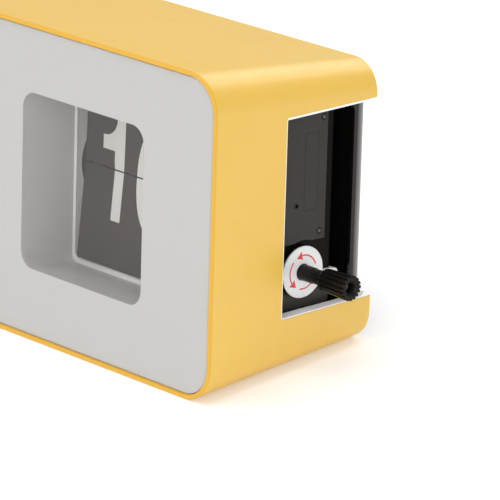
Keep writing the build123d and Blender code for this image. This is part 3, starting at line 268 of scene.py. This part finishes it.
def case_material():
    """Glossy black back cover: mirror-smooth side walls, and a finely textured,
    greyer back and rounded edge, with a painted highlight, a lighter band, on the rounded edge."""
    t = Tree("case_black")
    vec = t.coords()
    fx, fy, fz = t.face()
    geo = t.add("ShaderNodeNewGeometry")
    outward = t.add("ShaderNodeVectorMath", {"operation": "DOT_PRODUCT"}, i0=geo.outputs["True Normal"], i1=tuple(UY))
    back = t.math("MULTIPLY", t.remap(fy, 117.7, 118.1, 0.0, 1.0), t.remap(outward.outputs["Value"], -0.02, 0.01, 0.0, 1.0))
    fine = t.noise(vec, 1250.0, 2.0, 0.6)
    mid = t.noise(vec, 85.0, 3.0, 0.6)
    col = t.mix(t.remap(mid, 0.3, 0.7, 0.0, 1.0), (0.0062, 0.0054, 0.0050, 1), (0.0080, 0.0070, 0.0064, 1))
    grey = t.mix(t.remap(mid, 0.3, 0.7, 0.0, 1.0), (0.050, 0.046, 0.043, 1), (0.060, 0.055, 0.052, 1))
    col = t.mix(back, col, grey)
    turn = t.add("ShaderNodeVectorMath", {"operation": "DOT_PRODUCT"}, i0=geo.outputs["Normal"], i1=tuple(UY)).outputs["Value"]
    # Painted highlight: a lighter band where the rounded edge turns from the side walls to the back.
    turned = t.math("MULTIPLY", t.remap(turn, 0.10, 0.45, 0.0, 1.0), t.remap(turn, 0.70, 0.97, 1.0, 0.0))
    col = t.mix(t.math("MULTIPLY", turned, back), col, (0.180, 0.168, 0.160, 1))
    normal, edges = edge_mask(t, 0.00015, 3.0)
    col = t.mix(t.math("MULTIPLY", edges, 0.10), col, (0.12, 0.115, 0.11, 1))
    bump = t.add("ShaderNodeBump", None, Strength=1.0, Distance=0.000004, Height=t.math("MULTIPLY", fine, back), Normal=normal)
    rgh = t.math("ADD", t.math("MULTIPLY", back, 0.20), t.remap(mid, 0.3, 0.7, 0.10, 0.15))
    p = t.add("ShaderNodeBsdfPrincipled", None, Base_Color=col, Roughness=rgh, Normal=bump.outputs[0],
              Specular_IOR_Level=t.math("ADD", 0.27, t.math("MULTIPLY", back, 0.2)))
    t.link(p.outputs[0], t.out.inputs[0])
    return t.mat


def cover_material():
    """Gear cover: the raised panel is finely textured and the margin is smooth. Off
    the raised panel the colour is painted nearly black, a painted shade on the margin
    and in the groove round the setting disc, and the margin's foot is painted a
    lighter grey, a painted reflection."""
    t = Tree("cover_black")
    vec = t.coords()
    fx, fy, fz = t.face()
    raised = t.remap(fx, COVER_X * 1000 - 1.35, COVER_X * 1000 - 1.25, 0.0, 1.0)
    foot = t.remap(fz, 44.5, 49.5, 1.0, 0.0)
    open_ = t.math("MAXIMUM", raised, foot)
    fine = t.noise(vec, 1100.0, 2.0, 0.6)
    mid = t.noise(vec, 190.0, 3.0, 0.65)
    slow = t.noise(vec, 24.0, 4.0, 0.6)
    lit = t.mix(t.remap(slow, 0.3, 0.7, 0.0, 1.0), (0.020, 0.0155, 0.0125, 1), (0.027, 0.021, 0.0175, 1))
    lit = t.mix(t.remap(mid, 0.5, 0.75, 0.0, 0.5), lit, (0.012, 0.0095, 0.008, 1))
    normal, edges = edge_mask(t, 0.0003, 3.0)
    lit = t.mix(t.math("MULTIPLY", edges, 0.35), lit, (0.09, 0.085, 0.08, 1))
    # Painted reflection: the margin's foot is mixed towards a lighter grey.
    lit = t.mix(t.math("MULTIPLY", foot, t.math("SUBTRACT", 1.0, raised)), lit, (0.062, 0.054, 0.047, 1))
    # Painted shade: off the raised panel and the foot the colour is almost black.
    col = t.mix(open_, (0.0058, 0.0040, 0.0034, 1), lit)
    height = t.math("MULTIPLY", t.math("ADD", fine, t.math("MULTIPLY", mid, 1.5)), open_)
    bump = t.add("ShaderNodeBump", None, Strength=1.0, Distance=0.00003, Height=height, Normal=normal)
    rgh = t.math("ADD", t.math("MULTIPLY", open_, t.remap(slow, 0.3, 0.7, 0.18, 0.30)), 0.24)
    spec = t.math("ADD", t.math("MULTIPLY", open_, 0.33), 0.07)
    p = t.add("ShaderNodeBsdfPrincipled", None, Base_Color=col, Roughness=rgh, Normal=bump.outputs[0], Specular_IOR_Level=spec)
    t.link(p.outputs[0], t.out.inputs[0])
    return t.mat


def leaf_material():
    """Thin printed leaves: warm matt black, a little wavy, with a painted shadow
    along the split line of the shown pair, where the gap between them lies in shade."""
    t = Tree("leaf_black")
    vec = t.coords()
    fx, fy, fz = t.face()
    fine = t.noise(vec, 1800.0, 2.0, 0.6)
    mid = t.noise(vec, 95.0, 3.0, 0.6)
    away = t.math("ABSOLUTE", t.math("SUBTRACT", fz, SPLIT_Z))
    split_shadow = t.math("MULTIPLY", t.remap(away, 0.36, 0.48, 1.0, 0.0), t.remap(fy, 46.0, 46.4, 0.0, 1.0))
    split_shadow = t.math("MULTIPLY", split_shadow, t.remap(fy, 48.4, 48.6, 1.0, 0.0))
    col = t.mix(t.remap(mid, 0.3, 0.7, 0.0, 1.0), (0.041, 0.0255, 0.0165, 1), (0.047, 0.030, 0.020, 1))
    normal, edges = edge_mask(t, 0.00008, 3.0)
    col = t.mix(t.math("MULTIPLY", edges, 0.3), col, (0.10, 0.09, 0.08, 1))
    # Painted shadow: the band along the split line is mixed to almost black, with no specular.
    col = t.mix(split_shadow, col, (0.002, 0.0018, 0.0016, 1))
    wave = t.add("ShaderNodeBump", None, Strength=1.0, Distance=0.00005, Height=t.noise(vec, 24.0, 2.0, 0.5), Normal=normal)
    bump = t.add("ShaderNodeBump", None, Strength=1.0, Distance=0.0000015, Height=fine, Normal=wave.outputs[0])
    spec = t.math("SUBTRACT", 0.30, t.math("MULTIPLY", split_shadow, 0.30))
    p = t.add("ShaderNodeBsdfPrincipled", None, Base_Color=col, Roughness=t.remap(mid, 0.3, 0.7, 0.55, 0.70),
              Normal=bump.outputs[0], Specular_IOR_Level=spec)
    t.link(p.outputs[0], t.out.inputs[0])
    return t.mat


COVER_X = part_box("gear_cover")[1].x
M["sleeve_yellow"] = sleeve_material()
M["case_black"] = case_material()
M["cover_black"] = cover_material()
SPLIT_Z = 97.38        # height of the split between the shown leaves
M["leaf_black"] = leaf_material()


def cover_screw_material():
    """Blackened screw heads with a painted highlight, a light grey spot, in the middle of each."""
    t = Tree("cover_screw_black")
    fx, fy, fz = t.face()
    worn = 0.0
    for y, z in COVER_SCREWS:
        dy, dz = t.math("SUBTRACT", fy, y), t.math("SUBTRACT", fz, z)
        d = t.math("SQRT", t.math("ADD", t.math("MULTIPLY", dy, dy), t.math("MULTIPLY", dz, dz)))
        worn = t.math("MAXIMUM", worn, t.remap(d, 0.55, 1.05, 1.0, 0.0))
    speck = t.noise(t.coords(), 900.0, 3.0, 0.6)
    # Painted highlight: a light grey spot in the middle of each head.
    col = t.mix(worn, (0.012, 0.0105, 0.0095, 1), (0.34, 0.33, 0.32, 1))
    bump = t.add("ShaderNodeBump", None, Strength=0.6, Distance=0.00002, Height=speck)
    p = t.add("ShaderNodeBsdfPrincipled", None, Base_Color=col, Metallic=0.6, Roughness=t.remap(speck, 0.3, 0.7, 0.26, 0.36),
              Normal=bump.outputs[0])
    t.link(p.outputs[0], t.out.inputs[0])
    return t.mat


COVER_SCREWS = ((97.0, 146.9), (96.0, 81.2), (60.0, 151.0))
# The lip ring's two greys are shaded and lit copies of the tunnel grey: the darker one is painted shade, the paler one
# a painted highlight.
M["lip_shade"] = plastic("lip_shade", srgb(160, 157, 155), 0.5, grain=0.000006, grain_scale=1300, vary=0.02, bevel=0.0003, wear=0.03)
M["lip_highlight"] = plastic("lip_highlight", srgb(236, 234, 232), 0.42, grain=0.000006, grain_scale=1300, vary=0.015, bevel=0.0003, wear=0.03)

slots = {s["node"]: s["material_slot"] for s in frame["record"]["subparts"]}


def shade_cad(o, angle=32.0):
    """Smooth shading with sharp creases, by modifiers only."""
    o.data.polygons.foreach_set("use_smooth", [True] * len(o.data.polygons))
    w = o.modifiers.new("weld", "WELD")
    w.merge_threshold = 1e-6
    e = o.modifiers.new("creases", "EDGE_SPLIT")
    e.split_angle = math.radians(angle)


for name, o in N.items():
    o.data.materials.clear()
    o.data.materials.append(M[slots[name]])
    shade_cad(o)
N["cover_screws"].data.materials[0] = cover_screw_material()


# ------------------------------------------------------------------ pieces
def plate(name, outline, origin, u, v, thickness, material, body, bevel=0.0, lift=0.0):
    """Flat plate cut to an outline in mm: (a, b) pairs along u and v from origin,
    its front on the side of u x v, standing lift above the origin's plane."""
    cu = bpy.data.curves.new(name, "CURVE")
    cu.dimensions = "2D"
    cu.fill_mode = "BOTH"
    loops = outline if isinstance(outline[0][0], (tuple, list)) else [outline]
    for loop in loops:
        sp = cu.splines.new("POLY")
        sp.points.add(len(loop) - 1)
        for p, (a, b) in zip(sp.points, loop):
            p.co = (a / 1000, b / 1000, 0, 1)
        sp.use_cyclic_u = True
    cu.extrude = max(1e-6, thickness / 2000 - bevel / 1000)
    cu.bevel_depth = bevel / 1000
    cu.bevel_resolution = 2
    cu.offset = -bevel / 1000
    tmp = bpy.data.objects.new(name + "_c", cu)
    scene.collection.objects.link(tmp)
    bpy.context.view_layer.update()
    me = bpy.data.meshes.new_from_object(tmp.evaluated_get(bpy.context.evaluated_depsgraph_get()))
    bpy.data.objects.remove(tmp)
    bpy.data.curves.remove(cu)
    n = u.cross(v).normalized()
    mat = Matrix((
        (u.x, v.x, n.x, origin.x), (u.y, v.y, n.y, origin.y), (u.z, v.z, n.z, origin.z), (0, 0, 0, 1)))
    me.transform(Matrix.Translation((0, 0, (lift + thickness / 2) / 1000)))
    me.transform(mat)
    bm = bmesh.new()
    bm.from_mesh(me)
    bmesh.ops.remove_doubles(bm, verts=bm.verts, dist=1e-7)
    bmesh.ops.recalc_face_normals(bm, faces=bm.faces)
    bm.to_mesh(me)
    bm.free()
    me.name = name
    o = bpy.data.objects.new(name, me)
    scene.collection.objects.link(o)
    o.data.materials.clear()
    o.data.materials.append(M[material])
    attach(o, body)
    return o


# Numerals. Half height 29.5 mm about the split line; the round figure overshoots
# a little. Coordinates are (x from the window's centre, height above the split).
STEM, HALF, CUT = 8.0, 29.5, 0.38


def arc(cx, cy, rx, ry, a0, a1, n):
    return [(cx + rx * math.cos(math.radians(a0 + (a1 - a0) * i / n)), cy + ry * math.sin(math.radians(a0 + (a1 - a0) * i / n)))
            for i in range(n + 1)]


def one_upper(x):
    """Upper half of a 1 with its stem's left edge at x."""
    return ([(x, CUT), (x + STEM, CUT), (x + STEM, HALF), (x + 0.8, HALF)]
            + arc(x - 9.6, 29.4, 10.2, 10.4, 0, -90, 10) + [(x - 11.1, 19.0), (x - 11.1, 10.7), (x - 0.7, 10.7), (x - 0.5, 4)])


def one_lower(x):
    return [(x, -CUT), (x + STEM, -CUT), (x + STEM, -HALF), (x, -HALF)]


def zero_half(x, sign):
    a, b, w = 14.5, 31.0, 8.2
    outer = [(p, max(q * sign, CUT) * sign) for p, q in arc(x + a, 0, a, b * sign, 180, 0, 40)]
    inner = [(p, max(q * sign, CUT) * sign) for p, q in arc(x + a, 0, a - w, (b - 7.2) * sign, 0, 180, 36)]
    pts = outer + inner
    return pts if sign > 0 else list(reversed(pts))


ONE_L, ONE_R, ZERO = -25.1, 3.6, -5.6      # left edges of the figures from the window's centre


def leaf_frames(centre_x):
    """Origin on the split line and up direction of the shown leaves' faces."""
    yu, zu, yl, zl = 47.50, 98.72, 47.36, 96.0
    a, b = math.radians(1.7), math.radians(5.6)
    up = V(0, math.sin(a), math.cos(a))
    low = V(0, math.sin(b), math.cos(b))
    return (P(centre_x, yu, zu) - up * 0.00128, up), (P(centre_x, yl, zl) + low * 0.00132, low)


LEAF_HALF_T = 0.125
for side, cx, body in (("minute", 66.25, "minute_leaf"), ("hour", -66.25, "hour_leaf")):
    (uo, uup), (lo_, lup) = leaf_frames(cx)
    one_x = ONE_L + STEM * 0
    plate(side + "_numeral_one_upper", one_upper(one_x), uo, UX, uup, 0.02, "numeral_white", body,
          lift=LEAF_HALF_T + 0.002)
    plate(side + "_numeral_zero_upper", zero_half(ZERO, 1), uo, UX, uup, 0.02, "numeral_white", body,
          lift=LEAF_HALF_T + 0.002)
    plate(side + "_numeral_one_lower", one_lower(one_x), lo_, UX, lup, 0.02, "numeral_white", "case",
          lift=LEAF_HALF_T + 0.002)
    plate(side + "_numeral_zero_lower", zero_half(ZERO, -1), lo_, UX, lup, 0.02, "numeral_white", "case",
          lift=LEAF_HALF_T + 0.002)

# The next numeral, 11: its lower half stands upside down on the back of the leaf
# that falls, its upper half on the fan's next leaf, hidden until then.
AXIS_Y, AXIS_Z, R_PIV = 73.36, 96.0, 26.0
for side, cx, leaf_body, step, lean in (("minute", 66.25, "minute_leaf", 6.0, 7.0), ("hour", -66.25, "hour_leaf", 15.0, 16.0)):
    a = math.radians(1.7)
    up = V(0, math.sin(a), math.cos(a))
    origin = P(cx, 47.50, 98.72) - up * 0.00132
    for i, x in enumerate((ONE_L, ONE_R)):
        pts = [(-p, max(-q, 1.6)) for p, q in one_lower(x)]
        plate(f"{side}_next_lower_{i + 1}", pts, origin, -UX, up, 0.03, "numeral_white", leaf_body,
              lift=LEAF_HALF_T + 0.004)
    pa = math.radians(6.0 + step)
    py, pz = AXIS_Y - R_PIV * math.cos(pa), AXIS_Z + R_PIV * math.sin(pa)
    b = math.radians(lean)
    up = V(0, math.sin(b), math.cos(b))
    origin = P(cx, py, pz) - up * 0.00128
    for i, x in enumerate((ONE_L, ONE_R)):
        pts = [(p, max(q, 2.6)) for p, q in one_upper(x)]
        plate(f"{side}_next_upper_{i + 1}", pts, origin, UX, up, 0.03, "numeral_white", "case",
              lift=LEAF_HALF_T + 0.004)


def rounded(hw, hh, r, n=8):
    """Outline of a rounded rectangle about the origin, n + 1 points a corner."""
    pts = []
    for sx, sy, a0 in ((1, 1, 0), (-1, 1, 90), (-1, -1, 180), (1, -1, 270)):
        pts += arc(sx * (hw - r), sy * (hh - r), r, r, a0, a0 + 90, n)
    return pts


def lip_ring(name, cx):
    """Frame where the window tunnel meets its lip: a rounded bead, broad along
    the bottom and the top and narrow at the sides, and a flat that runs on inwards
    to just short of the leaves. It is painted a paler grey than the tunnel, a painted
    highlight, and its faces at the sides a darker grey, painted shade."""
    hw, hh, y0 = 105.7 / 2 + 3.0 - 0.12, 103.6 / 2 + 5.5 - 0.12, 43.95
    wx, wz, rise, flat_x, flat_z = 1.5, 3.3, 1.7, 4.15, 3.55
    prof = [(wx * s, wz * s, rise * h, 4.4 - 0.5 * s) for s, h in
            [(math.sin(math.radians(k * 10)), math.cos(math.radians(k * 10))) for k in range(10)]]
    prof[-1] = (wx, wz, 0.22, 3.9)
    prof += [(flat_x - 0.08, flat_z - 0.08, 0.22, 2.4), (flat_x, flat_z, 0.12, 2.3), (flat_x, flat_z, 0.0, 2.3), (0.0, 0.0, 0.0, 4.4)]
    bm = bmesh.new()
    rows = []
    for ax, az, h, r in prof:
        loop = rounded(hw - ax, hh - az, r)
        rows.append([bm.verts.new(P(cx + p, y0 - h, 93.8 + q)) for p, q in loop])
    m = len(rows[0])
    for i in range(len(rows)):
        r0, r1 = rows[i], rows[(i + 1) % len(rows)]
        for k in range(m):
            f = bm.faces.new((r0[k], r0[(k + 1) % m], r1[(k + 1) % m], r1[k]))
            # Faces at the window's sides take the darker grey, painted shade; the rest take the paler grey, a painted
            # highlight.
            shaded_side = abs(f.calc_center_median().x * 1000 - cx) > hw - 5.0
            f.material_index = (0 if i < 6 or not shaded_side else 2) if i < 9 else (2 if shaded_side else 0)
    bmesh.ops.recalc_face_normals(bm, faces=bm.faces)
    me = bpy.data.meshes.new(name)
    bm.to_mesh(me)
    bm.free()
    me.polygons.foreach_set("use_smooth", [True] * len(me.polygons))
    o = bpy.data.objects.new(name, me)
    scene.collection.objects.link(o)
    for slot in ("lip_highlight", "tunnel_grey", "lip_shade"):
        me.materials.append(M[slot])
    e = o.modifiers.new("creases", "EDGE_SPLIT")
    e.split_angle = math.radians(40)
    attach(o, "case")


lip_ring("window_lip_minutes", 66.25)
lip_ring("window_lip_hours", -66.25)

# Grey walls that return from the lip past the ends of the leaves, cut away
# round the drum's end discs.
ret = [(44.05, 40.7), (49.0, 40.7)]
ret += [(AXIS_Y - math.sqrt(28.6 ** 2 - dz * dz), AXIS_Z + dz) for dz in [14.9 * (k / 14 - 1) for k in range(29)]]
ret += [(49.0, 146.9), (44.05, 146.9)]
for side, cx in (("minutes", 66.25), ("hours", -66.25)):
    for end, x in (("left", cx - 51.85), ("right", cx + 51.60)):
        plate(f"window_return_{side}_{end}", ret, P(x, 0, 0), UY, UZ, 0.25, "tunnel_grey", "case", bevel=0.04)

# Black aprons that close each window below and above the leaves. The lower one
# carries on the slope of the shown lower leaf down to the lip.
for side, cx in (("minutes", 66.25), ("hours", -66.25)):
    low = V(0, math.sin(math.radians(5.6)), math.cos(math.radians(5.6)))
    hx = 51.45
    foot = [(hx, 0), (-hx, 0)] + arc(-hx + 1.6, -16.5, 1.6, 1.6, 180, 270, 6) + arc(hx - 1.6, -16.5, 1.6, 1.6, 270, 360, 6)
    plate("apron_lower_" + side, foot, P(cx, 43.98, 58.55), UX, low, 0.3, "leaf_black", "case", bevel=0.06)
    head = [(-hx, 0), (hx, 0)] + arc(hx - 1.6, 8.0, 1.6, 1.6, 0, 90, 6) + arc(-hx + 1.6, 8.0, 1.6, 1.6, 90, 180, 6)
    plate("apron_upper_" + side, head, P(cx, 44.75, 137.6), UX, UZ, 0.4, "leaf_black", "case", bevel=0.06)

# Setting disc: three curved arrows, printed proud by a hair.
disc_lo, disc_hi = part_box("setting_disc")
dc = (disc_lo + disc_hi) / 2
d_origin = Vector((disc_hi.x, dc.y, dc.z))


def polar(r, a):
    return (r * math.cos(math.radians(a)), r * math.sin(math.radians(a)))


for i, start in enumerate((20.0, 138.0, 257.0)):
    r, w, end, tip = 9.85, 0.42, start + 76, start + 101
    pts = ([polar(r + w, start + (end - start) * k / 20) for k in range(21)]
           + [polar(12.35, end + 1), polar(r, tip), polar(7.35, end - 4)]
           + [polar(r - w, end - (end - start) * k / 20) for k in range(21)])
    plate(f"setting_arrow_{i + 1}", pts, d_origin, UY, UZ, 0.05, "arrow_red", "case", lift=0.004)

# ------------------------------------------------------------------ stage
me = bpy.data.meshes.new("floor")
bm = bmesh.new()
bmesh.ops.create_grid(bm, x_segments=8, y_segments=8, size=6.0)
bm.to_mesh(me)
bm.free()
floor = bpy.data.objects.new("floor", me)
scene.collection.objects.link(floor)
t = Tree("floor_pale")
n = t.noise(t.coords(), 3.0, 3.0)
colr = t.mix(t.remap(n, 0.3, 0.7, 0.0, 1.0), (0.86, 0.86, 0.86, 1), (0.88, 0.88, 0.88, 1))
pb = t.add("ShaderNodeBsdfPrincipled", None, Base_Color=colr, Roughness=0.9, Emission_Color=(1, 1, 1, 1), Emission_Strength=0.22)
t.link(pb.outputs[0], t.out.inputs[0])
floor.data.materials.append(t.mat)

world = bpy.data.worlds.new("studio")
scene.world = world
world.use_nodes = True
bg = world.node_tree.nodes["Background"]
bg.inputs[0].default_value = (1, 1, 1, 1)
bg.inputs[1].default_value = 0.60


def area(name, loc, target, size, power, color=(1, 1, 1)):
    li = bpy.data.lights.new(name, "AREA")
    li.shape = "RECTANGLE"
    li.size, li.size_y = size
    li.energy = power
    li.color = color
    o = bpy.data.objects.new(name, li)
    scene.collection.objects.link(o)
    o.location = loc
    o.rotation_euler = (Vector(target) - Vector(loc)).to_track_quat("-Z", "Y").to_euler()
    return o


area("key_right", (1.6, -1.2, 0.8), (0.1, 0, 0.1), (1.2, 1.2), 12)
area("top", (0.0, -0.2, 1.8), (0.0, 0, 0.1), (1.6, 1.2), 13)
area("front_left", (-1.2, -1.6, 0.9), (0.0, 0, 0.1), (1.0, 1.0), 6)
area("behind", (-0.3, 1.7, 1.2), (0.0, 0.4, 0.0), (1.4, 1.0), 10)

# ------------------------------------------------------------------ camera
# Long lens from the right, in front and above.
CAM_RIGHT = V(0.6641874201518838, 0.7470200507286219, 0.02856772166961652)
CAM_DOWN = V(0.22737191953785374, -0.16546089403241238, -0.9596482182298194)
CAM_FWD = V(-0.7121496198957472, 0.6438817720322594, -0.2797484272108438)
CAM_AT = P(1955.92039792, -1578.1423936, 783.54135046)
cam = bpy.data.cameras.new("camera")
cam.sensor_width = 36.0
cam.lens = 4554.526 / 500 * 36
cam.clip_start, cam.clip_end = 0.05, 30.0
co = bpy.data.objects.new("camera", cam)
scene.collection.objects.link(co)
right, up, back = CAM_RIGHT.normalized(), (-CAM_DOWN).normalized(), (-CAM_FWD).normalized()
co.matrix_world = Matrix(((right.x, up.x, back.x, CAM_AT.x), (right.y, up.y, back.y, CAM_AT.y),
                          (right.z, up.z, back.z, CAM_AT.z), (0, 0, 0, 1)))
scene.camera = co
scene.view_settings.view_transform = "Standard"
